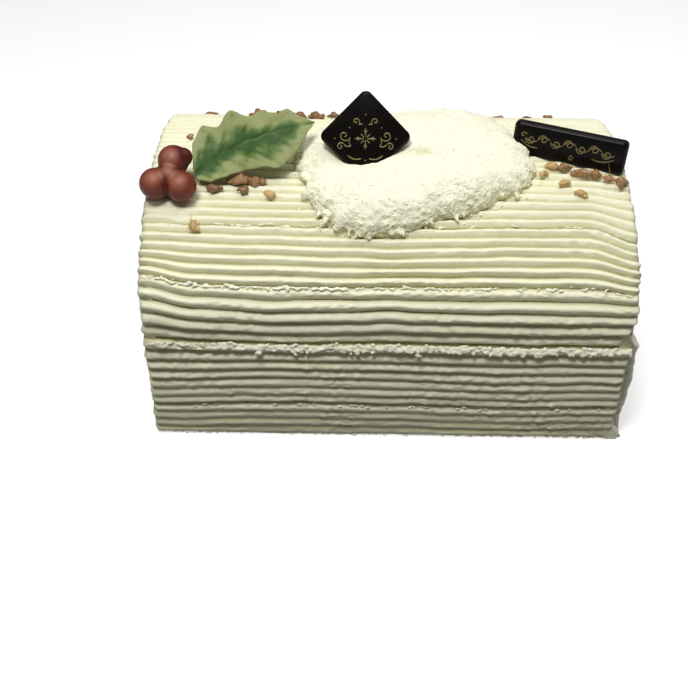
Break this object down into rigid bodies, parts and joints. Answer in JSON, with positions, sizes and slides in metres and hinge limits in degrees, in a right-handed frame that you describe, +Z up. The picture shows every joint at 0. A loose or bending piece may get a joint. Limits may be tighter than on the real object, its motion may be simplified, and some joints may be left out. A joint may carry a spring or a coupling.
{
  "type": "yule log cake",
  "caption": "Festive log cake in ridged ivory buttercream with a grated coconut mound, dark chocolate plaques, holly leaf, red berries and praline bits.",
  "frame": {"origin": "centre of the log's flat underside, on the surface it stands on", "axes": "+X along the log towards the bar plaque, +Z up, -Y towards the front that the diamond plaque faces"},
  "size_m": [0.1509, 0.1113, 0.1025],
  "materials": {
    "buttercream": "soft satin ivory buttercream",
    "coconut": "matt white grated coconut",
    "chocolate": "satin dark chocolate",
    "leaf": "satin green sugar paste, paler at the edge",
    "berry": "satin red sugar paste"
  },
  "bodies": {
    "root": {"log": "buttercream", "coconut_mound": "coconut", "diamond_plaque": "chocolate", "bar_plaque": "chocolate", "holly_leaf": "leaf", "berries": "berry"}
  },
  "joints": []
}
